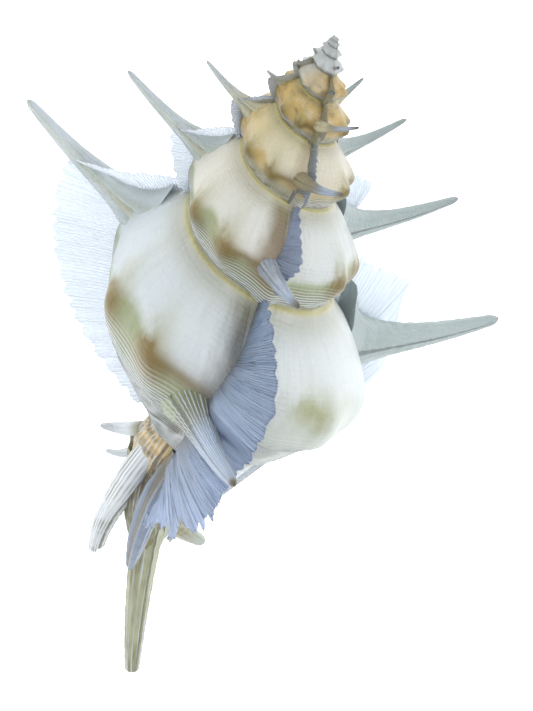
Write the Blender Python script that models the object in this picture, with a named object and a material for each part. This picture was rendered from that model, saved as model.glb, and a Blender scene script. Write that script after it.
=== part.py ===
"""A three-winged murex shell, one closed body, lying on the tips of its long spines and its canal.

The shell is drawn upright first: the coiling axis runs down from the apex at the origin along -Y,
and a station on it is given by its age in varices (0 at the lip, negative towards the apex).
Everything then scales with the age, as in a growing shell, and is laid down at the end.
"""
import math

import bmesh
import bpy
import numpy as np
from mathutils import Matrix, Vector

for old in list(bpy.data.objects):
    bpy.data.objects.remove(old, do_unlink=True)

MM = 0.001

# Growth of the spiral
VARIX_TURN = 117.8        # degrees round the axis from one varix to the next
VARIX_GROWTH = 1.16       # size of one varix over the one before
LIP_ANGLE = -42.0         # degrees, direction of the last varix
FIRST_AGE = -27.0         # age of the nucleus at the apex
LAST_AGE = 0.04           # age of the lip
SWEEP_STEPS = 22          # sections drawn from one varix to the next

# Whorl section at the lip, mm: distance from the axis, distance below the apex
WHORL = ((16.0, 60.4), (19.2, 62.3), (23.2, 65.8), (27.4, 70.6), (30.8, 75.6), (32.4, 80.5),
         (32.6, 86.0), (31.2, 92.5), (27.8, 99.0), (22.4, 105.6), (16.4, 112.0), (11.4, 118.5),
         (8.0, 126.0), (5.6, 136.0))
CORE = ((0.6, 138.0), (0.6, 60.4))
WHORL_POINTS = 26
VARIX_SWELL = 5.0         # how far a varix rounds out of the whorl
VARIX_SPREAD = 0.075      # its spread along the growth, in varix intervals
VARIX_LEVEL = (100.0, 24.0)
NODE_PLACES = (0.43, 0.70)  # two low nodes between neighbouring varices
NODE_SWELL = 1.6
NODE_SPREAD = 0.07
NODE_LEVEL = (86.0, 8.0)
BASE_LIFT = 3.8           # how far the base of the last part is drawn up behind the lip
BASE_LEVEL = (88.0, 100.0)
BASE_BEGIN = (-1.4, -0.9)
BASE_END = (-0.35, -0.1)

# Long shoulder spines
SPINE_COUNT = 12
SPINE_BASE = (34.0, 79.0)
SPINE_ROOT = 0.8          # how deep in the whorl a spine starts, as a share of that distance
LOW_SPINE = 1             # the spine one varix behind the lip leaves the whorl lower and further back
LOW_SPINE_ROOT = (0.70, 89.0, 16.0)     # its depth share, drop and degrees back
SPINE_REACH = 74.6        # tip of the last spine from the axis
SPINE_REACH_FALL = 0.155  # natural-log fall of that reach for each older varix
SPINE_TIP_DROP = 76.2     # its tip below the apex
SPINE_TIP_FALL = 0.183
SPINE_RADIUS = ((0.0, 7.6), (0.35, 3.9), (0.7, 2.2), (1.0, 1.0))    # share of the length, radius
SPINE_LEAST = 0.62        # the smallest spines end this blunt
SPINE_BOW = 0.045         # sideways bow as a share of the length
SPINE_TRIM = {0: (0.95, 1.0), 1: (0.94, 1.07), 2: (0.99, 0.93), 3: (1.13, 1.1), 4: (0.93, 1.09),
              5: (1.04, 0.95), 6: (1.13, 1.12), 7: (1.12, 0.89), 9: (0.91, 1.11), 10: (1.22, 0.74),
              11: (0.74, 1.35)}  # how each one grew: reach, drop

# Thin flange along each varix: where it leaves the whorl, and its free edge
FLANGE_ROOT = ((20.0, 61.0), (25.5, 68.5), (30.0, 74.5), (31.5, 78.5), (32.0, 83.0), (32.0, 90.0),
               (29.0, 97.5), (24.0, 106.0), (18.0, 114.0), (12.0, 122.0), (8.0, 130.0))
FLANGE_EDGE = ((21.0, 60.0), (30.0, 60.5), (40.0, 65.5), (52.0, 72.0), (57.0, 80.0), (53.5, 90.0),
               (50.0, 100.0), (44.0, 110.0), (35.5, 118.5), (25.0, 126.5), (13.0, 133.0))
FRONT_FLANGE_WIDTH = {4: 0.7, 7: 0.4}   # the older flanges in line with the low spine are narrow
FLANGE_THICKNESS = 2.1
FLANGE_LEAST = 0.62       # the oldest flanges are no thinner than this share of it
FLANGE_TAPER = 0.35       # thinner by this share at the free edge
FLANGE_ROWS = 64
FLANGE_STEPS = 8
FLANGE_LAG = ((0.0, 0.27, 0.5, 1.0), (-6.0, 3.5, 8.5, 8.5))   # degrees its root trails the spine
FLANGE_LEAD = 7.0         # degrees the free edge runs ahead of the spine
SCALLOP_DEPTH = 0.9
SCALLOPS = 17
SCALLOP_REACH = 6.0       # narrower flanges than this are not notched deeper
FLANGE_COUNT = 8
WHOLE_FLANGES = 3         # the last ones are not overgrown by the next whorl
WIDE_FLANGES = 4
YOUNG_WIDTH = (0.45, 0.2) # the one at the back is narrow at its top and widens row by row
OLD_FLANGE_ROWS = 5.0     # rows left showing above the next whorl
OLD_FLANGE_WIDTH = 0.72
LIP_FLANGE_ROWS = 5.3     # the flange of the lip is worn short below this row
LIP_FLANGE_WIDTH = 0.25
LIP_FLANGE_SLOPE = 1.2

# Siphonal canal and the remains of the two before it: x, drop below the apex, z, radius
CANAL = ((0.0, 106.0, 0.0, 9.0), (0.4, 116.0, 0.0, 6.0), (1.4, 124.0, 0.0, 4.0),
         (3.4, 134.0, 0.0, 3.1), (5.8, 145.0, 0.0, 2.5), (8.2, 155.0, -0.4, 2.0),
         (10.0, 162.0, -1.0, 1.5))
TONGUE = ((2.6, 98.0, 12.0, 3.0), (1.0, 106.0, 13.2, 2.8), (0.8, 113.0, 12.4, 2.8),
          (0.9, 121.0, 10.8, 2.4), (1.2, 127.0, 9.0, 1.7), (1.4, 131.4, 7.6, 0.9))
STUMP = ((1.0, 92.0, 1.0, 3.4), (-4.0, 108.0, 6.4, 4.4), (-6.4, 120.0, 4.6, 3.2),
         (-7.0, 128.0, 3.2, 2.4), (-6.6, 134.4, 2.0, 1.7))
NECK = ((1.2, 95.0, 4.4, 5.4), (0.8, 99.0, 4.0, 7.2), (0.0, 104.0, 3.2, 7.4),
        (-0.4, 113.0, 2.4, 5.8), (0.2, 122.0, 1.2, 4.1), (3.0, 132.0, 0.0, 2.2))
HOOKS = (((-6.0, 102.0, 2.0, 2.2), (-11.0, 105.5, 0.0, 1.5), (-14.9, 106.0, 1.0, 0.7)),
         ((-5.5, 108.0, 1.0, 1.8), (-9.0, 110.5, 1.0, 1.0), (-12.0, 111.5, 0.6, 0.7)),
         ((1.6, 117.0, -1.0, 5.0), (4.6, 123.0, -3.0, 3.6), (8.6, 127.4, -6.4, 2.3),
          (13.6, 131.4, -10.6, 1.2)))
SPINE_SIDES = 10
SPINE_STEPS = 14
CANAL_SIDES = 12
CANAL_STEPS = 18

# Mouth of the shell, hidden underneath: a hollow wound back into the last whorl
MOUTH_CENTRE = (19.4, 86.0)
MOUTH_HALF = (9.0, 15.5)
MOUTH_LEAN = -0.16        # its lower end lies nearer the axis
MOUTH_BACK = -1.3         # age at which the hollow ends
MOUTH_FRONT = 0.35
MOUTH_END = 0.25          # the blunt end: its length in varix intervals
MOUTH_NARROW = 0.25       # and how narrow it gets
MOUTH_RINGS = 24
MOUTH_SIDES = 20

VOXEL = 0.58
TRIANGLES = 9000

# Lying down: turns about X, Y and Z in that order
LAY_DOWN = (20.234, -24.789, -8.786)


def smooth(rows, count):
    """Points spread evenly over a soft curve through the given rows."""
    rows = np.array(rows, float)
    ends = np.vstack([2 * rows[0] - rows[1], rows, 2 * rows[-1] - rows[-2]])
    where = np.linspace(0.0, len(rows) - 1.0, count)
    start = np.minimum(where.astype(int), len(rows) - 2)
    t = (where - start)[:, None]
    a, b, c, d = (ends[start + step] for step in range(4))
    return 0.5 * (2 * b + (c - a) * t + (2 * a - 5 * b + 4 * c - d) * t ** 2
                  + (3 * b - a - 3 * c + d) * t ** 3)


def spot(radius, drop, age, ahead=0.0):
    """A point at a distance from the axis, below the apex, at an age and degrees ahead of it."""
    angle = math.radians(LIP_ANGLE - VARIX_TURN * age - ahead)
    return Vector((radius * math.cos(angle), -drop, radius * math.sin(angle))) * MM


def bump(age, centre, spread):
    return math.exp(-((age - centre) / spread) ** 2)


def ease(low, high, value):
    t = min(1.0, max(0.0, (value - low) / (high - low)))
    return t * t * (3 - 2 * t)


def swell(age, drop):
    """How far the whorl rounds out at an age, for a drop measured on the section at the lip."""
    step = age - math.floor(age)
    varix = bump(min(step, 1 - step), 0.0, VARIX_SPREAD)
    nodes = sum(bump(step, place, NODE_SPREAD) for place in NODE_PLACES)
    return (VARIX_SWELL * varix * bump(drop, *VARIX_LEVEL)
            + NODE_SWELL * nodes * bump(drop, *NODE_LEVEL))


def skin(shape, rings):
    """Joins rings of points into a closed skin with both ends filled."""
    rows = [[shape.verts.new(point) for point in ring] for ring in rings]
    size = len(rows[0])
    for near, far in zip(rows, rows[1:]):
        for i in range(size):
            j = (i + 1) % size
            shape.faces.new((near[i], near[j], far[j], far[i]))
    for ring in (rows[0], rows[-1]):
        middle = shape.verts.new(sum((v.co for v in ring), Vector()) / size)
        for i in range(size):
            shape.faces.new((ring[i], ring[(i + 1) % size], middle))


def whorls(shape):
    outer = smooth(WHORL, WHORL_POINTS)
    rings = []
    count = int((LAST_AGE - FIRST_AGE) * SWEEP_STEPS)
    for age in np.linspace(FIRST_AGE, LAST_AGE, count):
        size = VARIX_GROWTH ** age
        drawn = BASE_LIFT * ease(*BASE_BEGIN, age) * (1.0 - ease(*BASE_END, age))
        ring = []
        for radius, drop in outer:
            low = drop - drawn * ease(*BASE_LEVEL, drop)
            ring.append(spot((radius + swell(age, drop)) * size, low * size, age))
        for radius, drop in CORE:
            ring.append(spot(radius * size, drop * size, age))
        rings.append(ring)
    skin(shape, rings)


def tube(shape, stops, sides, count):
    """A tapering round tube along stops of x, y, z and radius, in metres."""
    path = smooth(stops, count)
    rings = []
    for i, (x, y, z, radius) in enumerate(path):
        ahead = Vector(path[min(i + 1, count - 1)][:3]) - Vector(path[max(i - 1, 0)][:3])
        turn = ahead.to_track_quat("Z", "Y").to_matrix()
        rings.append([Vector((x, y, z)) + turn @ Vector((math.cos(a), math.sin(a), 0.0)) * radius
                      for a in np.linspace(0.0, 2 * math.pi, sides, endpoint=False)])
    skin(shape, rings)


def spines(shape):
    for older in range(SPINE_COUNT):
        size = VARIX_GROWTH ** -older
        depth, level, behind = SPINE_ROOT, SPINE_BASE[1], 0.0
        if older == LOW_SPINE:
            depth, level, behind = LOW_SPINE_ROOT
        root = spot(SPINE_BASE[0] * size * depth, level * size, -older, -behind)
        longer, lower = SPINE_TRIM.get(older, (1.0, 1.0))
        tip = spot(SPINE_REACH * math.exp(-SPINE_REACH_FALL * older) * longer,
                   SPINE_TIP_DROP * math.exp(-SPINE_TIP_FALL * older) * lower, -older)
        bow = Vector((0.0, -1.0, 0.0)) * (tip - root).length * SPINE_BOW
        stops = []
        for share, radius in SPINE_RADIUS:
            point = root.lerp(tip, share) + bow * math.sin(math.pi * share)
            stops.append((*point, max(radius * size, SPINE_LEAST) * MM))
        tube(shape, stops, SPINE_SIDES, SPINE_STEPS)


def flange_width(older, row):
    """Width of a flange as a share of a whole one, for a row counted down from its top."""
    wide = 1.0 if older < WIDE_FLANGES else OLD_FLANGE_WIDTH
    if older == 2:
        wide = min(1.0, YOUNG_WIDTH[0] + YOUNG_WIDTH[1] * row)
    if older == 0:
        worn = min(1.0, max(0.0, row - LIP_FLANGE_ROWS) * LIP_FLANGE_SLOPE)
        wide += (LIP_FLANGE_WIDTH - 1.0) * worn
    return wide * FRONT_FLANGE_WIDTH.get(older, 1.0)


def flanges(shape):
    """Thin scalloped wings that flare forwards out of the varices."""
    root = smooth(FLANGE_ROOT, FLANGE_ROWS)
    edge = smooth(FLANGE_EDGE, FLANGE_ROWS)
    rows = len(FLANGE_ROOT) - 1
    for older in range(FLANGE_COUNT):
        size = VARIX_GROWTH ** -older
        last = FLANGE_ROWS if older < WHOLE_FLANGES else int(FLANGE_ROWS * OLD_FLANGE_ROWS / rows)
        thick = FLANGE_THICKNESS * max(size, FLANGE_LEAST)
        rings = []
        for i in range(last):
            share = i / (FLANGE_ROWS - 1)
            lag = float(np.interp(share, *FLANGE_LAG))
            dent = SCALLOP_DEPTH * math.cos(2 * math.pi * SCALLOPS * share)
            out = (edge[i] - root[i]) * flange_width(older, share * rows)
            out = out * (1 + dent / max(SCALLOP_REACH, float(np.hypot(*out))))
            front, back = [], []
            for q in np.linspace(0.0, 1.0, FLANGE_STEPS):
                radius, drop = (root[i] + out * q) * size
                ahead = -lag + (lag + FLANGE_LEAD) * q
                half = math.degrees(thick / 2 / max(radius, 2.0)) * (1.0 - FLANGE_TAPER * q)
                front.append(spot(radius, drop, -older, ahead + half))
                back.append(spot(radius, drop, -older, ahead - half))
            rings.append(front + back[::-1])
        skin(shape, rings)


def canals(shape):
    for stops in (CANAL, TONGUE, STUMP, NECK) + HOOKS:
        line = [(x * MM, -drop * MM, z * MM, r * MM) for x, drop, z, r in stops]
        tube(shape, line, CANAL_SIDES, CANAL_STEPS)


def mouth(shape):
    """The hollow that is cut out of the last whorl, narrowing to a blunt end inside."""
    rings = []
    for age in np.linspace(MOUTH_BACK, MOUTH_FRONT, MOUTH_RINGS):
        size = VARIX_GROWTH ** age
        end = min(1.0, (age - MOUTH_BACK) / MOUTH_END) ** 0.5
        narrow = MOUTH_NARROW + (1.0 - MOUTH_NARROW) * end
        ring = []
        for a in np.linspace(0.0, 2 * math.pi, MOUTH_SIDES, endpoint=False):
            out = MOUTH_HALF[0] * math.cos(a) * narrow
            down = MOUTH_HALF[1] * math.sin(a) * narrow
            ring.append(spot((MOUTH_CENTRE[0] + out + MOUTH_LEAN * down) * size,
                             (MOUTH_CENTRE[1] + down) * size, age))
        rings.append(ring)
    skin(shape, rings)


def thing(name, *fillers):
    shape = bmesh.new()
    for fill in fillers:
        fill(shape)
    bmesh.ops.recalc_face_normals(shape, faces=shape.faces)
    mesh = bpy.data.meshes.new(name)
    shape.to_mesh(mesh)
    shape.free()
    made = bpy.data.objects.new(name, mesh)
    bpy.context.scene.collection.objects.link(made)
    return made


def settle(made):
    """Applies the modifiers of an object."""
    view = bpy.context.evaluated_depsgraph_get()
    mesh = bpy.data.meshes.new_from_object(made.evaluated_get(view))
    made.modifiers.clear()
    made.data = mesh


def modifier(made, kind, **settings):
    added = made.modifiers.new(kind.lower(), kind)
    for name, value in settings.items():
        setattr(added, name, value)


shell = thing("murex_shell", whorls, spines, flanges, canals)
modifier(shell, "REMESH", mode="VOXEL", voxel_size=VOXEL * MM, use_smooth_shade=True)
settle(shell)

hollow = thing("hollow", mouth)
modifier(shell, "BOOLEAN", operation="DIFFERENCE", solver="EXACT", object=hollow)
settle(shell)
bpy.data.objects.remove(hollow, do_unlink=True)

count = sum(len(face.vertices) - 2 for face in shell.data.polygons)
modifier(shell, "DECIMATE", ratio=TRIANGLES / count, use_collapse_triangulate=True)
settle(shell)

turn = Matrix.Identity(3)
for axis, degrees in zip("XYZ", LAY_DOWN):
    turn = Matrix.Rotation(math.radians(degrees), 3, axis) @ turn
shell.data.transform(turn.to_4x4())
points = np.array([vertex.co for vertex in shell.data.vertices])
low, high = points.min(0), points.max(0)
middle = Vector(((low[0] + high[0]) / 2, (low[1] + high[1]) / 2, low[2]))
shell.data.transform(Matrix.Translation(-middle))

porcelain = bpy.data.materials.new("shell_porcelain")
porcelain.use_nodes = True
surface = porcelain.node_tree.nodes["Principled BSDF"]
surface.inputs["Base Color"].default_value = (0.84, 0.82, 0.74, 1.0)
surface.inputs["Roughness"].default_value = 0.4
shell.data.materials.clear()
shell.data.materials.append(porcelain)
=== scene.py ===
import math

import bpy
import numpy as np
from mathutils import Matrix, Vector


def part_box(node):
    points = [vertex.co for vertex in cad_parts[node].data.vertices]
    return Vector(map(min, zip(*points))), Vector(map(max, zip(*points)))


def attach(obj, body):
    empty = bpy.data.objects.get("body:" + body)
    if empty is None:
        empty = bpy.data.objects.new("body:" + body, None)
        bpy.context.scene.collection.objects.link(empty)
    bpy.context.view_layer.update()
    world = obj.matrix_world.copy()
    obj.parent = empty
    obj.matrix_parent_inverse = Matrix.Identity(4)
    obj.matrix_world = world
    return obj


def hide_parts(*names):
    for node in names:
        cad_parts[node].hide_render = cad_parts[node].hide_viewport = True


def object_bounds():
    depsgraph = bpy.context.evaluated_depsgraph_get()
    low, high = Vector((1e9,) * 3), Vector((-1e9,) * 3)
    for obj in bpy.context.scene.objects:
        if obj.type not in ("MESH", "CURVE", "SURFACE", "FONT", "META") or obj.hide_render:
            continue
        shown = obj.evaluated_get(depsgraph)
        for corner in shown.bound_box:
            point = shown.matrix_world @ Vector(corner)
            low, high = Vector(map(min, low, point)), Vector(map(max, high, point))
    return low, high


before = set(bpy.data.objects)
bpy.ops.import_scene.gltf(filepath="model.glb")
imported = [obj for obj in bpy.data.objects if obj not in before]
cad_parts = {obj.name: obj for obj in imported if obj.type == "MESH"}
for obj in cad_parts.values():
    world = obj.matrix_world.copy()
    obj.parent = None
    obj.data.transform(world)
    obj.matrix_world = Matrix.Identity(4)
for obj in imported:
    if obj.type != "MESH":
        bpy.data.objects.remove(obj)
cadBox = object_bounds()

mm = 0.001

# how the shell grows: everything scales with age, counted in varices, 0 at the lip
growth = {
    "turn": 117.8,                 # degrees from one varix to the next
    "ratio": 1.16,                 # size of one varix over the one before
    "lipAngle": -42.0,             # direction of the last varix
    "layDown": (20.234, -24.789, -8.786),
}


def smooth(rows, count):
    # an even run of points on a soft curve through the rows
    rows = np.array(rows, float)
    ends = np.vstack([2 * rows[0] - rows[1], rows, 2 * rows[-1] - rows[-2]])
    where = np.linspace(0.0, len(rows) - 1.0, count)
    start = np.minimum(where.astype(int), len(rows) - 2)
    t = (where - start)[:, None]
    a, b, c, d = (ends[start + step] for step in range(4))
    return 0.5 * (2 * b + (c - a) * t + (2 * a - 5 * b + 4 * c - d) * t ** 2
                  + (3 * b - a - 3 * c + d) * t ** 3)


def size(age):
    return growth["ratio"] ** age


def spot(radius, drop, age, ahead=0.0):
    # place at a distance from the axis, below the apex, at an age and degrees ahead of it
    angle = np.radians(growth["lipAngle"] - growth["turn"] * age - ahead)
    return np.stack(np.broadcast_arrays(radius * np.cos(angle), -drop, radius * np.sin(angle)), -1) * mm


def bump(value, centre, spread):
    return np.exp(-((value - centre) / spread) ** 2)


def ease(low, high, value):
    t = np.clip((value - low) / (high - low), 0.0, 1.0)
    return t * t * (3 - 2 * t)


def ripple(*where, seed=0, octaves=3):
    # smooth repeatable unevenness between about -1 and 1, from a few crossed waves
    random = np.random.default_rng(seed)
    waves, fade, spread = 3, 0.55, 3.2
    total, weight = 0.0, 1.0
    for octave in range(octaves):
        for _ in range(waves):
            turn = random.normal(size=len(where)) * 2.0 ** octave
            phase = random.uniform(0, 2 * math.pi)
            total = total + weight * np.sin(sum(w * t for w, t in zip(where, turn)) + phase)
        weight *= fade
    return total / spread


def gridMesh(name, points, values, around=False, caps=False):
    # a skin over a grid of points; values are named numbers carried by every point
    rows, columns = points.shape[:2]
    index = np.arange(rows * columns).reshape(rows, columns)
    if around:
        index = np.concatenate([index, index[:, :1]], 1)
    quads = np.stack([index[:-1, :-1], index[:-1, 1:], index[1:, 1:], index[1:, :-1]], -1).reshape(-1, 4)
    faces = quads.tolist()
    if caps:
        faces += [index[0, :columns].tolist(), index[-1, :columns][::-1].tolist()]
    mesh = bpy.data.meshes.new(name)
    mesh.from_pydata(points.reshape(-1, 3).tolist(), [], faces)
    for key, value in values.items():
        layer = mesh.attributes.new(key, "FLOAT", "POINT")
        layer.data.foreach_set("value", np.broadcast_to(value, (rows, columns)).ravel().astype(np.float32))
    mesh.polygons.foreach_set("use_smooth", [True] * len(mesh.polygons))
    mesh.update()
    return mesh


def gridNormals(points):
    normal = np.cross(np.gradient(points, axis=1), np.gradient(points, axis=0))
    length = np.linalg.norm(normal, axis=-1, keepdims=True)
    return normal / np.maximum(length, 1e-12)


pieces = []


def addPiece(name, meshes, material):
    # one object from several meshes, kept in the shell's own upright frame until it is laid down
    objects = []
    for i, mesh in enumerate(meshes):
        made = bpy.data.objects.new(name if i == 0 else f"{name}_{i}", mesh)
        bpy.context.scene.collection.objects.link(made)
        objects.append(made)
    if len(objects) > 1:
        with bpy.context.temp_override(active_object=objects[0], selected_editable_objects=objects):
            bpy.ops.object.join()
    made = objects[0]
    made.data.materials.clear()
    made.data.materials.append(material)
    pieces.append(made)
    print(name, len(made.data.polygons))


# whorls

whorl = {
    "section": ((16.0, 60.4), (19.2, 62.3), (23.2, 65.8), (27.4, 70.6), (30.8, 75.6), (32.4, 80.5),
                (32.6, 86.0), (31.2, 92.5), (27.8, 99.0), (22.4, 105.6), (16.4, 112.0), (11.4, 118.5),
                (8.0, 126.0), (5.6, 136.0)),
    # stretches of the coil: first and last age, steps to a varix, points across
    "stretches": ((-7.1, 0.02, 60, 230), (-14.1, -7.0, 34, 120), (-27.0, -14.0, 20, 60)),
    "varixSwell": 5.0, "varixSpread": 0.075, "varixLevel": (100.0, 24.0),
    "nodeSwell": 1.6, "nodeSpread": 0.07, "nodeLevel": (86.0, 8.0), "nodes": (0.43, 0.70),
    "oldSwell": 4.0, "oldRise": 5.0,           # nodes of the spire are bolder and sit higher
    "cordPitch": 1.45,             # main spiral cords, mm apart at the lip
    "cordHeight": 0.05,
    "growthLines": 0.05,
    "dents": 0.22,                 # soft unevenness of the whole wall
    "sutureLip": 0.5, "sutureLevel": 62.6,
    "drawUp": 3.8,                 # mm the base lifts behind the lip
}


def swell(age, drop):
    step = age - np.floor(age)
    old = np.clip(-age / 12.0, 0.0, 1.0)
    varix = bump(np.minimum(step, 1 - step), 0.0, whorl["varixSpread"])
    nodes = sum(bump(step, place, whorl["nodeSpread"]) for place in whorl["nodes"])
    return (whorl["varixSwell"] * varix * bump(drop, *whorl["varixLevel"])
            + whorl["nodeSwell"] * (1 + whorl["oldSwell"] * old) * nodes
            * bump(drop + whorl["oldRise"] * old, *whorl["nodeLevel"]))


def whorlPoints(ages, across):
    section = smooth(whorl["section"], across)
    along = np.gradient(section, axis=0)
    along /= np.linalg.norm(along, axis=1, keepdims=True)
    outward = np.stack([along[:, 1], -along[:, 0]], 1)
    arc = np.concatenate([[0.0], np.cumsum(np.linalg.norm(np.diff(section, axis=0), axis=1))])
    age, level = np.meshgrid(ages, np.arange(across), indexing="ij")
    radius, drop, plainArc = section[level, 0], section[level, 1], arc[level]
    arc = plainArc + 0.5 * ripple(age * 5.0, plainArc * 0.05, seed=3)
    turn = 2 * math.pi / whorl["cordPitch"]
    # cords stand out at the base and on the spire, growth lines at the base
    strong = 0.12 + 5.5 * ease(86, 100, drop) + 2.2 * ease(-6.0, -9.0, age)
    lift = whorl["cordHeight"] * strong * (np.sin(arc * turn) + 0.4 * np.sin(arc * turn * 2))
    grow = ripple(age * 26.0, plainArc * 0.06, seed=5)
    lift += whorl["growthLines"] * (1 + 1.5 * ease(90, 110, drop)) * grow
    lift += whorl["dents"] * ripple(age * 4.0, plainArc * 0.22, seed=8, octaves=2)
    rim = bump(drop, whorl["sutureLevel"], 0.9)
    lift += whorl["sutureLip"] * rim * (1 + 0.5 * ripple(age * 22.0, seed=9))
    lift *= ease(60.6, 61.6, drop)
    radius = radius + swell(age, drop) + outward[level, 0] * lift
    low = drop + outward[level, 1] * lift
    low -= whorl["drawUp"] * ease(88, 100, drop) * ease(-1.4, -0.9, age) * ease(-0.1, -0.35, age)
    scale = size(age)
    return spot(radius * scale, low * scale, age), {"age": age, "level": drop, "arc": arc}


def makeWhorls(material):
    meshes = []
    for first, last, steps, across in whorl["stretches"]:
        ages = np.linspace(first, last, int((last - first) * steps))
        points, values = whorlPoints(ages, across)
        meshes.append(gridMesh("whorls", points, values))
    addPiece("whorls", meshes, material)


# wings: thin ribbed flanges along the varices

wing = {
    "root": ((20.0, 61.0), (25.5, 68.5), (30.0, 74.5), (31.5, 78.5), (32.0, 83.0), (32.0, 90.0),
             (29.0, 97.5), (24.0, 106.0), (18.0, 114.0), (12.0, 122.0), (8.0, 130.0)),
    "edge": ((21.0, 60.0), (30.0, 60.5), (40.0, 65.5), (52.0, 72.0), (57.0, 80.0), (53.5, 90.0),
             (50.0, 100.0), (44.0, 110.0), (35.5, 118.5), (25.0, 126.5), (13.0, 133.0)),
    "count": 15,
    "oldFrom": 5, "spireFrom": 8,              # varices back from the lip
    "lag": ((0.0, 0.27, 0.5, 1.0), (-6.0, 3.5, 8.5, 8.5)),     # degrees the root trails the spine
    "lead": 7.0,                   # degrees the free edge runs ahead of it
    "dip": (-5.0, 3.0, 9.0),       # degrees each of the three rows of webs bends back round its spines
    "spineAt": (0.385, 0.085),                 # where along the wing, and how wide the bend
    "fan": 16.0,                   # degrees the last front web spreads back over the neck
    "oldRows": 5.0, "oldWidth": 0.72,
    "spireRows": 6.3, "spireWidth": 0.6,
    "oldFront": 0.7, "spireFront": 0.4,        # the front webs older than the last one are narrow
    "lipRows": 5.3, "lipWidth": 0.25,
    "endTaper": 0.55,
    "scallops": 24, "scallopDepth": 1.1,
    "torn": 0.35, "neckTorn": 2.2,             # raggedness of every edge, and of the last web by the neck
    "ribs": 110, "frontRibs": 180, "ribHeight": 0.14,
    "pleat": 0.45, "frontPleat": 0.22, "curl": 2.5,
    "hollow": 0.34, "hollowAt": (0.53, 0.11),  # the last front web narrows past its spine
    "rootThick": 0.9, "edgeThick": 0.3, "leastSize": 0.5, "spireStout": 2.0,
}


def wingDetail(older):
    # points along and across: most on the last front web, fewest on the spire
    if older == 1:
        return 620, 28
    if older < wing["oldFrom"]:
        return 300, 24
    return (150, 16) if older < wing["spireFrom"] else (90, 12)


def wingWidths(older, share, row):
    # how much of its outline's width each point of a wing reaches
    if older == 0:
        return 1.0 + (wing["lipWidth"] - 1.0) * np.clip((row - wing["lipRows"]) * 1.2, 0, 1)
    if older == 1:
        return 1.0 - wing["hollow"] * bump(share, *wing["hollowAt"])
    if older == 2:
        return np.minimum(1.0, 0.45 + 0.2 * row)
    wide = 1.0 if older == 3 else wing["oldWidth"] if older < wing["spireFrom"] else wing["spireWidth"]
    if older % 3 == 1:
        wide *= wing["oldFront"] if older < wing["oldFrom"] else wing["spireFront"]
    return wide * (1.0 - wing["endTaper"] * ease(0.55, 1.0, share / share[-1]))


def wingPoints(older):
    front = older % 3 == 1
    rows = len(wing["root"]) - 1
    along, across = wingDetail(older)
    root, edge = smooth(wing["root"], along), smooth(wing["edge"], along)
    if older >= 3:
        last = int(along * (wing["oldRows"] if older < wing["oldFrom"] else wing["spireRows"]) / rows)
        root, edge = root[:last], edge[:last]
    share = np.arange(len(root)) / (along - 1)
    out = edge - root
    # the free edge: round scallops, with torn notches
    wave = share * wing["scallops"] + 0.35 * ripple(share * 20.0, np.full_like(share, older), seed=21)
    lobe = np.abs(np.cos(math.pi * wave)) ** 0.6
    ragged = ripple(share * 130.0, np.full_like(share, older * 3.0), seed=22)
    torn = wing["torn"] + (wing["neckTorn"] * ease(0.6, 0.7, share) if older == 1 else 0.0)
    notch = wing["scallopDepth"] * (lobe - 0.6 + torn * ragged)
    wide = wingWidths(older, share, share * rows) + notch / np.maximum(np.hypot(out[:, 0], out[:, 1]), 6.0)
    q = np.linspace(0.0, 1.0, across)[None, :]
    radius = root[:, :1] + out[:, :1] * wide[:, None] * q
    drop = root[:, 1:] + out[:, 1:] * wide[:, None] * q
    # where each point lies round the shell: leaning ahead, curled, pleated, ribbed and bent back
    share = share[:, None]
    lag = np.interp(share, *wing["lag"])
    curl = wing["curl"] * q ** 2 * ripple(share * 9.0, np.full_like(share, older), seed=23, octaves=2)
    pleat = wing["frontPleat" if front else "pleat"] * np.cos(2 * math.pi * wave)[:, None] * q
    ribs = wing["frontRibs" if front else "ribs"]
    rib = np.cos(2 * math.pi * ribs * share + 1.5 * ripple(share * 40.0, q * 2.0, seed=24))
    shift = pleat + wing["ribHeight"] * rib * (0.4 + 0.6 * q)
    behind = wing["dip"][older % 3] * bump(share, *wing["spineAt"]) * ease(0.0, 0.35, q)
    if older == 1:
        behind = behind + wing["fan"] * ease(0.66, 0.95, share) * q
    ahead = (lag + wing["lead"]) * q - lag + curl - behind + np.degrees(shift / np.maximum(radius, 4.0))
    scale = size(-older)
    points = spot(radius * scale, drop * scale, -older, ahead)
    values = {"age": -older, "level": drop, "out": q, "along": share * ribs, "front": float(front)}
    # two faces, a little apart
    stout = max(scale, wing["leastSize"]) * (1.0 + wing["spireStout"] * ease(5.0, 9.0, older))
    thick = (wing["rootThick"] * (1 - q) ** 2 + wing["edgeThick"]) * stout * mm
    side = gridNormals(points) * thick[..., None] / 2
    both = np.concatenate([points + side, (points - side)[:, ::-1]], 1)
    for key, value in values.items():
        value = np.broadcast_to(value, radius.shape)
        values[key] = np.concatenate([value, value[:, ::-1]], 1)
    return both, values


def makeWings(material):
    meshes = []
    for older in range(wing["count"]):
        points, values = wingPoints(older)
        meshes.append(gridMesh("wings", points, values, around=True, caps=True))
    addPiece("wings", meshes, material)


# spines: long tubes left open by a groove on the side the shell grew towards

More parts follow.
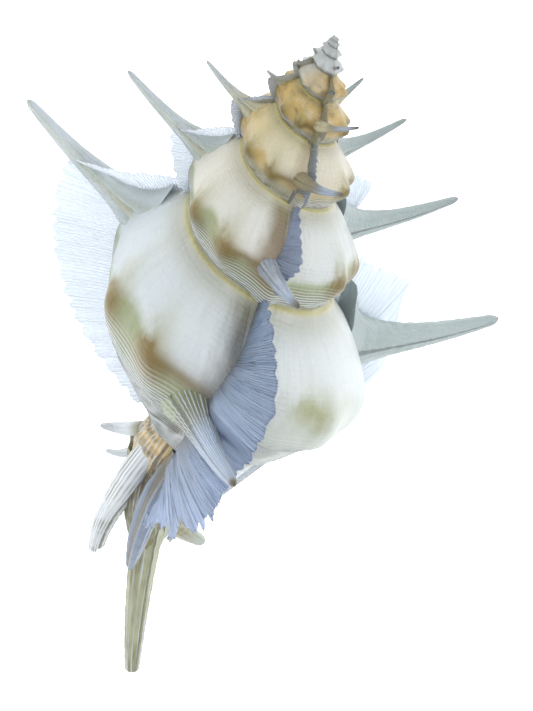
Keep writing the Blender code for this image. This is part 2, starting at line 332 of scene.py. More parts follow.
spine = {
    "count": 19,
    "base": (34.0, 79.0),          # mm from the axis and below the apex, at the lip's size
    "reach": 74.6, "reachFall": 0.155,         # mm from the axis to the tip, and its loss with age
    "tipDrop": 76.2, "tipFall": 0.183,         # mm from the apex down to the tip, and its loss
    "radius": (8.6, 6.0, 4.2, 3.1, 2.4, 1.8, 1.1),
    "leastRadius": 0.3, "flat": 0.15,
    "point": (0.95, 0.85, 0.65, 0.3),          # how the last rings close
    "bow": 0.045, "steps": 90,
    "spread": 0.9,                 # how much wider the root runs along the varix
    "rootDepth": 0.8,
    "frontRoot": (0.66, 83.2, 8.1),      # in the front row: depth, drop and degrees back
    "lastFrontRoot": (0.70, 89.0, 16.0),
    "frontSize": 0.9, "lastFrontSize": 1.0,        # the spines that lie in the front webs
    # how much longer, and lower, each spine grew than the rule gives
    "trim": {0: (0.95, 1.0), 1: (0.94, 1.07), 2: (0.99, 0.93), 3: (1.13, 1.1), 4: (0.93, 1.09),
             5: (1.04, 0.95), 6: (1.13, 1.12), 7: (1.12, 0.89), 9: (0.91, 1.11), 10: (1.22, 0.74),
             11: (0.74, 1.35)},
    "oldTrim": (0.62, 1.5),        # the spines older than those
    "groove": 0.6, "grooveWidth": 0.16,
}


def tubePoints(path, radii, towards, groove, width, flat, spread=0.0, around=56, seed=1, cords=9):
    # a tapering tube along a path, cut by a groove along the side that looks towards a direction
    towards = np.array(towards) / np.linalg.norm(towards)
    steps = np.gradient(path, axis=0)
    steps /= np.linalg.norm(steps, axis=1, keepdims=True)
    side = towards - (steps @ towards)[:, None] * steps
    side /= np.linalg.norm(side, axis=1, keepdims=True)
    up = np.cross(steps, side)
    angle = np.linspace(-math.pi, math.pi, around, endpoint=False)
    angle = angle - 0.7 * np.sin(angle)          # closer together at the groove
    far = np.linspace(0, 1, len(path))[:, None]
    notch = np.exp(-(np.abs(angle[None, :]) / width) ** 4) * ease(0.0, 0.1, far)
    lips = 0.12 * bump(np.abs(angle[None, :]), width * 2.2, width)
    rings = 0.03 * ripple(far * 90.0, np.cos(angle)[None, :] * 2, np.sin(angle)[None, :] * 2, seed=seed)
    ridges = 0.03 * np.cos(angle[None, :] * cords + 2.0 * np.sin(far * 3.0 + seed))
    r = radii[:, None] * (1 - groove * notch + (lips if groove else 0.0) + rings + ridges)
    x = np.cos(angle)[None, :] * r * (1 - flat)
    y = np.sin(angle)[None, :] * r * (1 + spread * np.exp(-far / 0.1))
    points = path[:, None, :] + x[..., None] * side[:, None, :] + y[..., None] * up[:, None, :]
    return points, {"out": far, "groove": notch, "around": angle[None, :]}


def makeSpines(material):
    meshes = []
    for older in range(spine["count"]):
        scale = size(-older)
        front = older % 3 == 1
        longer, lower = spine["trim"].get(older, (1.0, 1.0) if older < 12 else spine["oldTrim"])
        depth, level, behind = spine["rootDepth"], spine["base"][1], 0.0
        if front:
            depth, level, behind = spine["lastFrontRoot" if older == 1 else "frontRoot"]
        root = spot(spine["base"][0] * scale * depth, level * scale, -older, -behind)
        tip = spot(spine["reach"] * math.exp(-spine["reachFall"] * older) * longer,
                   spine["tipDrop"] * math.exp(-spine["tipFall"] * older) * lower, -older)
        far = np.linspace(0, 1, spine["steps"])[:, None]
        bow = np.array([0.0, -1.0, 0.0]) * np.linalg.norm(tip - root) * spine["bow"]
        path = root + (tip - root) * far + bow * np.sin(math.pi * far)
        radii = smooth(np.array(spine["radius"])[:, None], spine["steps"])[:, 0] * scale
        radii *= spine["lastFrontSize"] if older == 1 else spine["frontSize"] if front else 1.0
        radii = np.maximum(radii, spine["leastRadius"]) * mm
        radii[-len(spine["point"]):] *= np.array(spine["point"])
        points, values = tubePoints(path, radii, spot(1.0, 0.0, -older, 90.0), spine["groove"],
                                    spine["grooveWidth"], spine["flat"],
                                    0.0 if front else spine["spread"], seed=older + 40)
        values.update(age=-older, front=float(front), back=float(older % 3 == 0))
        meshes.append(gridMesh("spines", points, values, around=True, caps=True))
    addPiece("spines", meshes, material)


# canal, and what is left of the two canals before it

canal = {
    # places along each: across, down, forwards and radius, in mm from the apex
    "main": ((0.0, 106.0, 0.0, 9.0), (0.4, 116.0, 0.0, 6.0), (1.4, 124.0, 0.0, 4.0),
             (3.4, 134.0, 0.0, 3.1), (5.8, 145.0, 0.0, 2.5), (8.2, 155.0, -0.4, 2.0),
             (10.0, 162.0, -1.0, 1.5)),
    "tongue": ((2.6, 98.0, 12.0, 2.2), (1.0, 106.0, 14.6, 2.6), (0.8, 113.0, 13.6, 2.8),
               (0.9, 121.0, 11.6, 2.4), (1.2, 127.0, 9.6, 1.7), (1.4, 131.4, 8.0, 0.8)),
    "stump": ((1.0, 92.0, 1.0, 3.4), (-4.0, 108.0, 6.4, 4.4), (-6.4, 120.0, 4.6, 3.2),
              (-7.0, 128.0, 3.2, 2.4), (-6.6, 134.4, 2.0, 1.7)),
    "neck": ((1.2, 95.0, 4.4, 5.4), (0.8, 99.0, 4.0, 7.2), (0.0, 104.0, 3.2, 7.4),
             (-0.4, 113.0, 2.4, 5.8), (0.2, 122.0, 1.2, 4.1), (3.0, 132.0, 0.0, 2.2)),
    "hooks": (((-6.0, 102.0, 2.0, 2.2), (-11.0, 105.5, 0.0, 1.5), (-14.9, 106.0, 1.0, 0.7)),
              ((-5.5, 108.0, 1.0, 1.8), (-9.0, 110.5, 1.0, 1.0), (-12.0, 111.5, 0.6, 0.5))),
    "spur": ((1.6, 117.0, -1.0, 5.0), (4.6, 123.0, -3.0, 3.6), (8.6, 127.4, -6.4, 2.3),
             (13.6, 131.4, -10.6, 1.2)),
    # steps along and around, cords, side the groove looks to, groove depth and width, flatness
    "make": {"main": (140, 64, 9, (-0.67, 0.0, -0.74), 0.5, 0.12, 0.10),
             "tongue": (90, 64, 9, (-0.8, 0.0, 0.6), 0.5, 0.5, 0.25),
             "stump": (90, 64, 9, (0.9, 0.0, 0.5), 0.55, 0.4, 0.25),
             "hooks": (40, 64, 9, (0.2, -0.8, 0.4), 0.0, 0.2, 0.2),
             "spur": (50, 64, 9, (0.2, -0.8, 0.4), 0.0, 0.2, 0.1),
             "neck": (90, 96, 13, (0.3, 0.0, -1.0), 0.0, 0.2, 0.0)},
    "point": (0.9, 0.7, 0.35),
}


def makeCanals(material):
    meshes = []
    for kind, (name, make) in enumerate(canal["make"].items()):
        count, around, cords, towards, groove, width, flat = make
        lines = canal[name] if name == "hooks" else [canal[name]]
        for stops in lines:
            line = smooth(stops, count)
            path = np.stack([line[:, 0], -line[:, 1], line[:, 2]], 1) * mm
            radii = line[:, 3] * mm
            radii[-len(canal["point"]):] *= np.array(canal["point"])
            points, values = tubePoints(path, radii, towards, groove, width, flat, 0.0, around,
                                        60 + len(meshes), cords)
            meshes.append(gridMesh("canals", points, {**values, "kind": kind}, around=True, caps=True))
    addPiece("canals", meshes, material)


# mouth: the lining of the hollow and the face round it

mouth = {
    "centre": (19.4, 86.0), "half": (9.0, 15.5), "lean": -0.16,
    "back": -1.3, "age": 0.02,     # how far in it reaches, and the age of its face
    "rimLift": 2.2,                # degrees the face swells forwards round the opening
    "pillar": 0.6,                 # mm from the axis to the face's inner edge
    "steps": 60, "around": 120, "outerSteps": 100, "innerSteps": 40, "across": 22,
}


def mouthRing(angle, grow=1.0):
    down = mouth["half"][1] * np.sin(angle) * grow
    radius = mouth["centre"][0] + mouth["half"][0] * np.cos(angle) * grow + mouth["lean"] * down
    return radius, mouth["centre"][1] + down


def makeMouth(material):
    angle = np.linspace(0.0, 2 * math.pi, mouth["around"], endpoint=False)
    ages = np.linspace(mouth["back"], mouth["age"], mouth["steps"])[:, None]
    end = np.minimum(1.0, (ages - mouth["back"]) / 0.25) ** 0.5
    radius, drop = mouthRing(angle[None, :], 0.02 + 0.98 * end)
    lining = spot(radius * size(ages), drop * size(ages), ages)
    liningMesh = gridMesh("mouth", lining, {"inside": mouth["age"] - ages}, around=True)

    # the face: from the whorl's outline and a line beside the axis in to the opening
    outer = smooth(whorl["section"], mouth["outerSteps"])
    outer[:, 0] += swell(mouth["age"], outer[:, 1])
    top, bottom = outer[0, 1], outer[-1, 1]
    innerDrop = np.linspace(bottom, top, mouth["innerSteps"])
    inner = np.stack([np.full_like(innerDrop, mouth["pillar"]), innerDrop], 1)
    border = np.concatenate([outer, inner[1:-1]])
    arc = np.arctan2(border[:, 1] - mouth["centre"][1], (border[:, 0] - mouth["centre"][0]) * 1.7)
    rimRadius, rimDrop = mouthRing(arc)
    q = np.linspace(0.0, 1.0, mouth["across"])[None, :]
    bulge = mouth["rimLift"] * np.sin(math.pi * q ** 1.6)
    faceRadius = border[:, :1] * (1 - q) + rimRadius[:, None] * q
    faceDrop = border[:, 1:] * (1 - q) + rimDrop[:, None] * q
    face = spot(faceRadius, faceDrop, mouth["age"], bulge)
    faceMesh = gridMesh("mouthFace", face.transpose(1, 0, 2), {"inside": -0.1}, around=True)
    addPiece("mouth", [liningMesh, faceMesh], material)


# shaders: ages are in varices, 0 at the lip; levels are mm below the apex at the lip's size

class Value:
    # a number carried by a socket, so that shader sums read as ordinary sums
    def __init__(self, shader, socket):
        self.shader, self.socket = shader, socket

    def __add__(self, other):
        return self.shader.sum("ADD", self, other)

    def __sub__(self, other):
        return self.shader.sum("SUBTRACT", self, other)

    def __rsub__(self, other):
        return self.shader.sum("SUBTRACT", other, self)

    def __mul__(self, other):
        return self.shader.sum("MULTIPLY", self, other)

    def __truediv__(self, other):
        return self.shader.sum("DIVIDE", self, other)

    def __rtruediv__(self, other):
        return self.shader.sum("DIVIDE", other, self)

    def __pow__(self, other):
        return self.shader.sum("POWER", self, other)

    def __neg__(self):
        return self * -1.0

    __radd__ = __add__
    __rmul__ = __mul__


class Shader:
    def __init__(self, name):
        self.material = bpy.data.materials.new(name)
        self.material.use_nodes = True
        self.nodes = self.material.node_tree.nodes
        self.surface = self.nodes["Principled BSDF"]
        self.output = self.nodes["Material Output"]

    def put(self, value, socket):
        # a link from a value, or a plain setting
        if isinstance(value, Value):
            self.material.node_tree.links.new(value.socket, socket)
        elif hasattr(socket.default_value, "__len__"):
            full = tuple(value) + (1.0,) * (len(socket.default_value) - len(value))
            socket.default_value = full
        else:
            socket.default_value = value

    def node(self, kind, settings, inputs, output=0):
        made = self.nodes.new(kind)
        for key, value in settings.items():
            setattr(made, key, value)
        for key, value in inputs.items():
            self.put(value, made.inputs[key])
        return Value(self, made.outputs[output])

    def sum(self, operation, *values):
        return self.node("ShaderNodeMath", {"operation": operation}, dict(enumerate(values)))

    def mix(self, factor, first, second, blend="MIX"):
        return self.node("ShaderNodeMix", {"data_type": "RGBA", "blend_type": blend},
                         {0: factor, 6: first, 7: second}, 2)

    def carried(self, name):
        return self.node("ShaderNodeAttribute", {"attribute_name": name}, {}, "Fac")

    def ease(self, value, low, high):
        return self.node("ShaderNodeMapRange", {"interpolation_type": "SMOOTHSTEP"},
                         {"Value": value, "From Min": low, "From Max": high})

    def bell(self, value, centre, spread):
        off = (value - centre) / spread
        return self.sum("EXPONENT", -(off * off))

    def place(self, x, y, z=0.0):
        return self.node("ShaderNodeCombineXYZ", {}, {0: x, 1: y, 2: z})

    def noise(self, where, scale=1.0, detail=2.0, rough=0.5):
        return self.node("ShaderNodeTexNoise", {}, {"Vector": where, "Scale": scale, "Detail": detail,
                                                    "Roughness": rough})

    def finish(self, colour, roughness, through, height, depth, gloss, glow, lateGlow=None, late=0.0):
        # a shell wall: glossy outside, and letting through a share of the light behind it,
        # less where it is dark; the light comes through in one tint, or in a second where late is 1
        bent = self.node("ShaderNodeBump", {}, {"Height": height, "Distance": depth, "Strength": 1.0})
        self.put(colour, self.surface.inputs["Base Color"])
        self.put(roughness, self.surface.inputs["Roughness"])
        self.put(bent, self.surface.inputs["Normal"])
        self.surface.inputs["Coat Weight"].default_value = gloss
        self.surface.inputs["Coat Roughness"].default_value = 0.22
        bright = self.node("ShaderNodeRGBToBW", {}, {0: colour})
        back = self.node("ShaderNodeBsdfTranslucent", {}, {"Color": glow, "Normal": bent})
        if lateGlow:
            second = self.node("ShaderNodeBsdfTranslucent", {}, {"Color": lateGlow, "Normal": bent})
            back = self.node("ShaderNodeMixShader", {}, {0: late, 1: back, 2: second})
        share = self.sum("MINIMUM", bright * 1.25 * through, 0.95)
        both = self.node("ShaderNodeMixShader", {}, {0: share, 1: Value(self, self.surface.outputs[0]),
                                                     2: back})
        self.put(both, self.output.inputs["Surface"])
        return self.material


def rgb(red, green, blue):
    # a colour as seen on screen, made linear
    return tuple((c / 255 / 12.92) if c < 10.3 else ((c / 255 + 0.055) / 1.055) ** 2.4
                 for c in (red, green, blue))


wallColours = {
    "young": rgb(232, 240, 244), "middle": rgb(240, 236, 222), "old": rgb(232, 220, 172),
    "amber": rgb(202, 172, 104), "nucleus": rgb(232, 236, 234),
    "ochre": rgb(114, 94, 38), "shadow": rgb(84, 86, 84), "umber": rgb(112, 90, 50),
    "green": rgb(140, 150, 104),
    "brown": rgb(140, 108, 58), "pit": rgb(92, 88, 62), "rim": rgb(196, 186, 110),
    "base": rgb(132, 126, 86), "olive": rgb(142, 144, 90), "cord": rgb(240, 244, 250),
}


def shellMaterial():
    s = Shader("shell_wall")
    c = wallColours
    age, level = s.carried("age"), s.carried("level")
    step = s.sum("FRACT", age)
    grown, spire = s.ease(age, -13.0, -11.0), s.ease(age, -5.0, -8.0)
    notNucleus, lastBulge = s.ease(age, -14.0, -12.0), s.ease(age, -0.97, -0.87)
    cloud = s.noise(s.place(age * 6.0, level * 0.12), 1.0, 3.0)
    warm = s.noise(s.place(age * 2.3, level * 0.06, 4.0), 1.0, 2.0)
    colour = s.mix(s.ease(age + warm * 0.8, -2.6, -4.4), c["young"], c["middle"])
    colour = s.mix(s.ease(age + warm * 1.6, -5.4, -7.6), colour, c["old"])
    colour = s.mix(s.ease(age + warm, -6.4, -8.4), colour, c["amber"])
    foot = s.ease(level + cloud * 6.0, 76.0, 88.0) * s.ease(age, -7.2, -7.8) * s.ease(age, -12.6, -11.4)
    colour = s.mix(foot * 0.7, colour, c["brown"])
    mottle = s.noise(s.place(age * 4.2, level * 0.09, 11.0), 1.0, 3.0)
    spiral = s.noise(s.place(age * 1.2, level * 0.9, 12.0), 1.0, 2.0)
    mottle = mottle * 0.75 + spiral * 0.25
    colour = s.mix(s.ease(mottle, 0.5, 0.66) * s.ease(age, -7.0, -9.0) * 0.8, colour, c["umber"])
    colour = s.mix(s.ease(mottle, 0.48, 0.36) * s.ease(age, -6.5, -8.5) * 0.35, colour, c["middle"])
    colour = s.mix(s.ease(age + warm, -12.2, -14.2), colour, c["nucleus"])
    below = s.ease(level + cloud * 3.0 + s.bell(step, 0.53, 0.13) * 6.0, 83.0, 88.0)
    below = below * (0.92 - lastBulge * 0.6) * notNucleus
    colour = s.mix(below, colour, s.mix(spire, c["green"], c["amber"]))
    # bands of growth across the whorl
    band = s.noise(s.place(age * 34.0, level * 0.05, 2.0), 1.0, 3.0)
    colour = s.mix((band - 0.5) * 0.55 * s.ease(level, 62.0, 70.0), colour, c["base"])
    # knobs between the varices, the painted shadow line between them along the shoulder, and the one worn
    # pit
    smear = s.noise(s.place(age * 17.0, level * 0.16, 9.0), 1.0, 3.0) - 0.5
    knob = s.bell(step + smear * 0.09, 0.425, 0.065) + s.bell(step + smear * 0.09, 0.69, 0.07)
    recent = s.ease(age, -0.75, -1.1) * grown
    dark = knob * s.bell(level + smear * 9.0, 86.0, 6.4) * recent * (1.15 + smear)
    # painted shade for the dark inside the one pit
    hole = s.bell(age + smear * 0.03, -4.5, 0.05) * s.bell(level + smear * 3.0, 88.5, 4.0)
    olive = s.bell(age + smear * 0.1, -0.66, 0.13) * s.bell(level + smear * 6.0, 80.5, 5.0)
    colour = s.mix(olive * 0.9, colour, c["olive"])
    line = s.bell(level + smear * 2.0, 83.5, 2.6) * s.ease(step, 0.60, 0.76) * recent * 0.85
    # olive round the knobs, partly their own colour and partly painted shade on the bulge
    knobOliveAndShade = s.sum("MINIMUM", knob * s.bell(level, 88.0, 14.0) * 0.9 * recent, 0.8)
    colour = s.mix(knobOliveAndShade, colour, c["olive"])
    colour = s.mix(line, colour, c["ochre"])
    colour = s.mix(s.sum("MINIMUM", dark * 1.25, 0.95), colour, c["ochre"])
    colour = s.mix(hole * 0.85, colour, c["pit"])
    # painted shade, darkest where a varix grows out of the wall
    near = s.sum("MAXIMUM", s.ease(step, 0.88, 0.985), s.ease(step, 0.07, 0.0))
    older = s.ease(age, -2.5, -4.5)
    varixShade = s.mix(older + s.ease(level, 78.0, 88.0) * 0.4, c["shadow"], c["umber"])
    wide = s.ease(step + smear * 0.06 + older * 0.05, 0.86, 0.985) * grown
    shade = s.sum("MAXIMUM", near * 0.75, wide * 0.92) * (1.0 - s.ease(age, -5.5, -8.0) * 0.6)
    colour = s.mix(shade * s.ease(level, 61.0, 65.0), colour, varixShade)
    # painted shade in the corner where the last front varix meets the wall
    corner = s.bell(age + smear * 0.03, -1.03, 0.07) * s.bell(level + smear * 4.0, 86.0, 6.0)
    colour = s.mix(corner * 0.8, colour, c["shadow"])
    # the suture: a dark band with a pale rim
    colour = s.mix(s.bell(level, 63.0, 4.2) * 0.6 * grown, colour, c["base"])
    colour = s.mix(s.bell(level, 62.5, 0.5) * 0.75 * grown, colour, c["rim"])
    # spiral cords, pale over brown towards the base
    turns = (s.carried("arc") + cloud * 0.6) * (2 * math.pi / whorl["cordPitch"])
    cord = s.sum("SINE", turns) * 0.5 + 0.5
    low = s.ease(level + cloud * 4.0, 86.0, 95.0) * (1.0 - lastBulge * 0.75)
    crest = cord ** 5.0
    mossy = s.ease(s.noise(s.place(age * 3.0, level * 0.12, 14.0), 1.0, 2.0), 0.35, 0.65)
    colour = s.mix(low * (1.0 - crest) * 0.85, colour, s.mix(mossy, c["base"], c["green"]))
    colour = s.mix(low * crest * 0.95, colour, c["cord"])
    # painted shade low on the base beside the last front varix
    under = s.ease(level, 92.0, 106.0) * s.ease(age, -0.98, -1.04)
    colour = s.mix(under * (0.75 - crest * 0.6), colour, c["shadow"])
    fine = s.noise(s.place(age * 42.0, level * 0.3, 7.0), 1.0, 3.0)
    grain = s.noise(s.place(age * 40.0, level * 2.0), 1.0, 3.0)
    height = fine * 0.5 + cord * (0.06 + low * 0.3) + grain * 0.3
    return s.finish(colour, 0.34 + fine * 0.16, 0.36, height, 0.0006, 0.3, c["young"], c["amber"],
                    spire * notNucleus)


spineColours = {"wall": rgb(228, 234, 238), "green": rgb(176, 184, 168), "tip": rgb(240, 245, 252),
                "groove": rgb(250, 246, 214), "web": rgb(226, 235, 250), "sage": rgb(160, 175, 172),
               "umber": rgb(112, 102, 74), "slate": rgb(158, 176, 202), "moss": rgb(104, 106, 80)}
wingColours = {"pale": rgb(254, 254, 255), "pleat": rgb(232, 239, 250), "blue": rgb(226, 236, 252),
               "deep": rgb(168, 190, 220), "root": rgb(104, 106, 108), "old": rgb(180, 170, 126),
               "slate": rgb(108, 126, 150), "veil": rgb(244, 248, 253), "glow": rgb(206, 220, 246)}


def wingMaterial():
    s = Shader("wing_web")
    c = wingColours
    age, out, along = s.carried("age"), s.carried("out"), s.carried("along")
    front, level = s.carried("front"), s.carried("level")
    old = s.ease(age, -5.5, -8.5)
    rib = s.sum("SINE", along * (2 * math.pi) + s.noise(s.place(along * 0.6, out * 3.0), 1.0) * 3.0)
    patch = s.noise(s.place(along * 0.16, out * 1.5, age), 1.0, 2.0)
    # side webs are pale, front webs blue with pale ribs, with painted shade at the root
    pale = s.mix((0.5 - rib * 0.5) * 0.5, c["pale"], c["pleat"])
    crest = (rib * 0.5 + 0.5) ** 3.0
    blue = s.mix((1.0 - crest) * 0.7 + s.ease(patch, 0.4, 0.7) * 0.25, c["blue"], c["deep"])
    blue = s.mix(s.ease(level, 92.0, 108.0) * (0.15 + crest * 0.65), blue, c["pale"])
    # painted shade on the front webs, near the root and towards their upper end
    near = s.ease(level, 84.0, 68.0) * 0.5 + s.ease(out, 0.8, 0.2) * 0.35
    blue = s.mix(near * s.ease(age, -3.0, -2.0), blue, c["slate"])
    blue = s.mix(s.ease(age, -2.5, -3.5) * 0.5, blue, c["pleat"])
    colour = s.mix(front, pale, blue)
    # painted shade along the root of every web, deepest on the upper part of the front webs
    upper = front * s.ease(level, 108.0, 96.0) * s.ease(age, -4.0, -1.0)
    colour = s.mix(s.ease(out, 0.4, 0.0) * (0.35 + upper * 0.6), colour, c["root"])
    colour = s.mix(s.ease(patch, 0.5, 0.75) * front * 0.3, colour, c["slate"])
    # the webs of the spire are worn to the colour of its wall
    worn = s.mix(s.ease(out + patch * 0.2, 1.0, 0.6), c["pleat"], c["old"])
    worn = s.mix(s.ease(age, -9.0, -10.5) * 0.8, worn, wallColours["old"])
    colour = s.mix(old, colour, worn)
    fine = s.noise(s.place(along * 3.0, out * 6.0, age), 1.0, 3.0)
    return s.finish(colour, 0.42, 0.9 - front * 0.4 - old * 0.3, rib * 0.5 + fine * 0.4, 0.0005, 0.1,
                    c["veil"], c["glow"], front * (1.0 - old * 0.5))


def spineMaterial():
    s = Shader("spine_wall")
    c = spineColours
    age, out, groove, around = (s.carried(name) for name in ("age", "out", "groove", "around"))
    lines = s.noise(s.place(around * 5.0, out * 2.5, age), 1.0, 3.0)
    cloud = s.noise(s.place(around * 0.9, out * 5.0, age * 3.0), 1.0, 2.0)
    colour = s.mix(s.ease(cloud, 0.42, 0.75) * 0.8, c["wall"], c["green"])
    colour = s.mix(s.ease(lines, 0.5, 0.7) * 0.7, colour, c["tip"])
    colour = s.mix(s.ease(lines, 0.48, 0.34) * 0.35, colour, c["moss"])
    colour = s.mix(s.ease(out, 0.45, 1.0) * 0.8, colour, c["tip"])
    # the back row is sage, and every spine has painted shade at its root
    behind = s.sum("MAXIMUM", s.carried("back") * 0.85, s.ease(out, 0.4, 0.1) * 0.6)
    colour = s.mix(behind, colour, c["sage"])
    # the spines of the front row have painted shade at the root
    ribbed = s.mix(s.ease(lines, 0.4, 0.65), c["slate"], c["web"])
    ribbed = s.mix(s.ease(out + lines * 0.3, 0.95, 1.15), ribbed, c["umber"])
    varixShade = s.ease(out + cloud * 0.2, 0.84, 0.5) * (1.0 - s.ease(age, -5.5, -4.5) * 0.6)
    ribbed = s.mix(varixShade, ribbed, c["umber"])
    # the last of them is corded like the wall it stands on
    strand = s.sum("SINE", around * 30.0 + out * 9.0 + lines * 5.0) * 0.5 + 0.5
    bare = s.mix(s.ease(out + cloud * 0.2, 0.38, 0.68), c["moss"], c["slate"])
    bare = s.mix(s.ease(out + cloud * 0.3, 0.4, 0.25), bare, wallColours["green"])
    # painted shade down the grooved side of the last front spine
    bare = s.mix(s.ease(s.sum("ABSOLUTE", around), 1.9, 0.8) * 0.6, bare, c["umber"])
    corded = s.mix(s.ease(strand, 0.6, 1.0) * (0.5 + s.ease(out, 0.1, 0.5) * 0.4), bare, c["web"])
    corded = s.mix(s.ease(out, 0.95, 0.99), corded, c["umber"])
    ribbed = s.mix(s.ease(age, -1.6, -1.4), ribbed, corded)
    colour = s.mix(s.carried("front"), colour, ribbed)
    colour = s.mix(s.ease(age, -6.0, -9.0) * s.ease(out, 0.7, 0.2), colour, wallColours["old"])
    # the groove and its lips
    colour = s.mix(s.bell(s.sum("ABSOLUTE", around), 0.42, 0.16) * 0.45, colour, c["green"])
    colour = s.mix(s.ease(groove, 0.05, 0.35), colour, c["groove"])
    fine = s.noise(s.place(around * 9.0, out * 40.0, age), 1.0, 3.0)
    return s.finish(colour, 0.36 + cloud * 0.1, 0.45, fine + lines, 0.0004, 0.3, c["wall"])


canalColours = {"wall": rgb(166, 168, 138), "shade": rgb(124, 122, 84), "edge": rgb(218, 225, 240),
                "old": rgb(114, 128, 148), "pale": rgb(232, 238, 244), "amber": rgb(206, 176, 116),
                "brown": rgb(116, 110, 92), "horn": rgb(196, 206, 206), "glow": rgb(214, 218, 204)}


def canalMaterial():
    s = Shader("canal_wall")
    c = canalColours
    out, groove, kind, around = (s.carried(name) for name in ("out", "groove", "kind", "around"))
    cloud = s.noise(s.place(around * 0.8, out * 7.0, kind * 3.0), 1.0, 2.0)
    streak = s.noise(s.place(around * 4.0, out * 1.6, kind * 5.0), 1.0, 3.0)
    colour = s.mix(s.ease(cloud, 0.35, 0.7), c["wall"], c["shade"])
    colour = s.mix(s.ease(out, 0.35, 0.0) * 0.6, colour, c["shade"])
    colour = s.mix(s.ease(streak, 0.5, 0.66) * 0.6, colour, c["edge"])

    def fromKind(first, made):
        # the colour of this kind of tube and the kinds after it
        return s.mix(s.ease(kind, first - 0.8, first - 0.2), colour, made)

    # the tongue's dark grey-blue is partly painted shade
    colour = fromKind(1, s.mix(s.ease(out, 0.3, 0.0), c["old"], c["brown"]))
    line = s.sum("SINE", around * 24.0 + streak * 6.0) * 0.5 + 0.5
    lined = s.ease(line, 0.3, 0.95) * (0.2 + s.ease(cloud, 0.4, 0.65) * 0.6)
    colour = fromKind(2, s.mix(lined, c["pale"], c["brown"]))
    # painted shade in the grooves of the canal, the tongue and the stump
    colour = s.mix(s.ease(groove, 0.3, 0.9) * 0.8, colour, c["brown"])
    colour = fromKind(3, s.mix(s.ease(out, 0.3, 0.0), c["pale"], c["shade"]))
    horn = s.mix(s.ease(out, 0.5, 1.0) * 0.7, c["shade"], c["horn"])
    colour = fromKind(4, s.mix(s.ease(streak, 0.45, 0.7) * 0.6, horn, c["wall"]))
    strand = s.sum("SINE", around * 40.0 + out * 14.0 + streak * 7.0) * 0.5 + 0.5
    strand = strand * s.noise(s.place(around * 3.0, out * 14.0, 8.0), 1.0, 2.0) * 1.6
    neck = s.mix(s.ease(cloud, 0.35, 0.7) * s.ease(out, 0.75, 0.45), c["brown"], c["amber"])
    neck = s.mix(s.ease(strand, 0.3, 1.0) * 0.5, neck, c["pale"])
    colour = fromKind(5, s.mix(s.ease(out, 0.6, 0.85), neck, c["shade"]))
    return s.finish(colour, 0.4, 0.2, streak + cloud * 0.4, 0.0005, 0.25, c["glow"])


mouthColours = {"face": rgb(240, 236, 226), "deep": rgb(214, 190, 150), "glow": rgb(240, 232, 214)}


def mouthMaterial():
    s = Shader("mouth_lining")
    c = mouthColours
    inside = s.carried("inside")
    where = s.node("ShaderNodeTexCoord", {}, {}, "Object")
    cloud = s.noise(where, 120.0, 3.0)
    colour = s.mix(s.ease(inside + cloud * 0.2, 0.1, 0.9), c["face"], c["deep"])
    return s.finish(colour, 0.2 + cloud * 0.1, 0.35, s.noise(where, 600.0, 2.0), 0.0002, 0.6, c["glow"])


makeWhorls(shellMaterial())
makeWings(wingMaterial())
makeSpines(spineMaterial())
makeCanals(canalMaterial())
makeMouth(mouthMaterial())


# laid down on the floor, into the place of the CAD shell

def layDown():
    turn = Matrix.Identity(3)
    for axis, degrees in zip("XYZ", growth["layDown"]):
        turn = Matrix.Rotation(math.radians(degrees), 3, axis) @ turn
    places = []
    for piece in pieces:
        piece.data.transform(turn.to_4x4())
        place = np.empty(len(piece.data.vertices) * 3)
        piece.data.vertices.foreach_get("co", place)
        places.append(place.reshape(-1, 3))
    places = np.concatenate(places)
    low, high = places.min(0), places.max(0)
    nodeLow, nodeHigh = (np.array(corner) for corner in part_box("murex_shell"))
    shift = (nodeLow + nodeHigh - low - high) / 2
    shift[2] = nodeLow[2] - low[2]
    for piece in pieces:
        piece.data.transform(Matrix.Translation(Vector(shift)))
        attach(piece, "root")
        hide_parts("murex_shell")
    return turn, Vector(shift)


turn, apex = layDown()
print("apex at", [round(value, 4) for value in apex])

# floor, light and camera

room = {
    "floor": 6.0, "floorDrop": 0.0004, "floorColour": (0.9, 0.9, 0.9, 1), "floorRoughness": 0.9,
    "glowColour": (0.97, 0.985, 1.0, 1), "glow": 0.85,
    "skyColour": (0.95, 0.975, 1.0, 1), "sky": 0.74,
    # name, place, watts and side of each soft box, and the point they face
    "boxes": (("softboxLeft", (-0.45, 0.1, 0.6), 2.0, 0.5), ("softboxRight", (0.5, 0.1, 0.6), 3.4, 0.5)),
    "lit": (0, 0, 0.03),
}


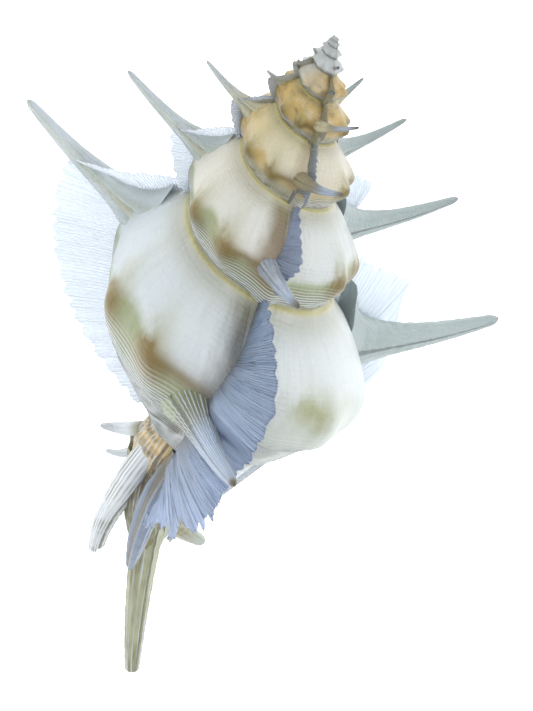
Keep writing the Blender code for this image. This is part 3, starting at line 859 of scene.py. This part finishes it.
def makeFloor():
    mesh = bpy.data.meshes.new("floor")
    half = room["floor"] / 2
    mesh.from_pydata([(-half, -half, 0), (half, -half, 0), (half, half, 0), (-half, half, 0)], [],
                     [(0, 1, 2, 3)])
    floor = bpy.data.objects.new("floor", mesh)
    bpy.context.scene.collection.objects.link(floor)
    floor.location.z = -room["floorDrop"]
    material = bpy.data.materials.new("floor_pale")
    material.use_nodes = True
    surface = material.node_tree.nodes["Principled BSDF"]
    surface.inputs["Base Color"].default_value = room["floorColour"]
    surface.inputs["Roughness"].default_value = room["floorRoughness"]
    surface.inputs["Emission Color"].default_value = room["glowColour"]
    surface.inputs["Emission Strength"].default_value = room["glow"]
    mesh.materials.append(material)


def makeLight():
    world = bpy.data.worlds.new("studio")
    world.use_nodes = True
    sky = world.node_tree.nodes["Background"]
    sky.inputs["Color"].default_value = room["skyColour"]
    sky.inputs["Strength"].default_value = room["sky"]
    bpy.context.scene.world = world
    for name, place, watts, side in room["boxes"]:
        light = bpy.data.lights.new(name, "AREA")
        light.size = side
        light.energy = watts
        made = bpy.data.objects.new(name, light)
        bpy.context.scene.collection.objects.link(made)
        made.location = place
        made.rotation_euler = (Vector(room["lit"]) - made.location).to_track_quat("-Z", "Y").to_euler()


shot = {
    "lean": 33.0,                  # degrees the apex leans towards the camera
    "roll": 22.3,                  # degrees the axis is turned in the view
    "distance": 1.1, "farthest": 20.0,
    "sensor": 36.0,                # mm
    "span": 0.1422,                # height of the view at the shell, in metres
    "aim": (-13.9, -62.9),         # mm to the right and up from the apex to the middle of the view
}


def makeCamera():
    lean, roll = math.radians(shot["lean"]), math.radians(shot["roll"])
    back = Vector((0, math.sin(lean), math.cos(lean)))
    down = Vector((0, -math.cos(lean), math.sin(lean)))
    side = Vector((1, 0, 0))
    right = side * math.cos(roll) - down * math.sin(roll)
    up = -(side * math.sin(roll) + down * math.cos(roll))
    away = turn @ back
    grid = Matrix((turn @ right, turn @ up, away)).transposed()
    centre = apex + grid @ (Vector((*shot["aim"], 0.0)) * mm)
    middle = (Vector(cadBox[0]) + Vector(cadBox[1])) / 2
    centre += away * (middle - centre).dot(away)
    camera = bpy.data.cameras.new("camera")
    camera.sensor_fit = "VERTICAL"
    camera.sensor_height = shot["sensor"]
    camera.lens = shot["sensor"] * shot["distance"] / shot["span"]
    camera.clip_end = shot["farthest"]
    made = bpy.data.objects.new("camera", camera)
    bpy.context.scene.collection.objects.link(made)
    place = grid.to_4x4()
    place.translation = centre + away * shot["distance"]
    made.matrix_world = place
    bpy.context.scene.camera = made


makeFloor()
makeLight()
makeCamera()
bpy.context.scene.view_settings.view_transform = "Standard"
print("stage done")
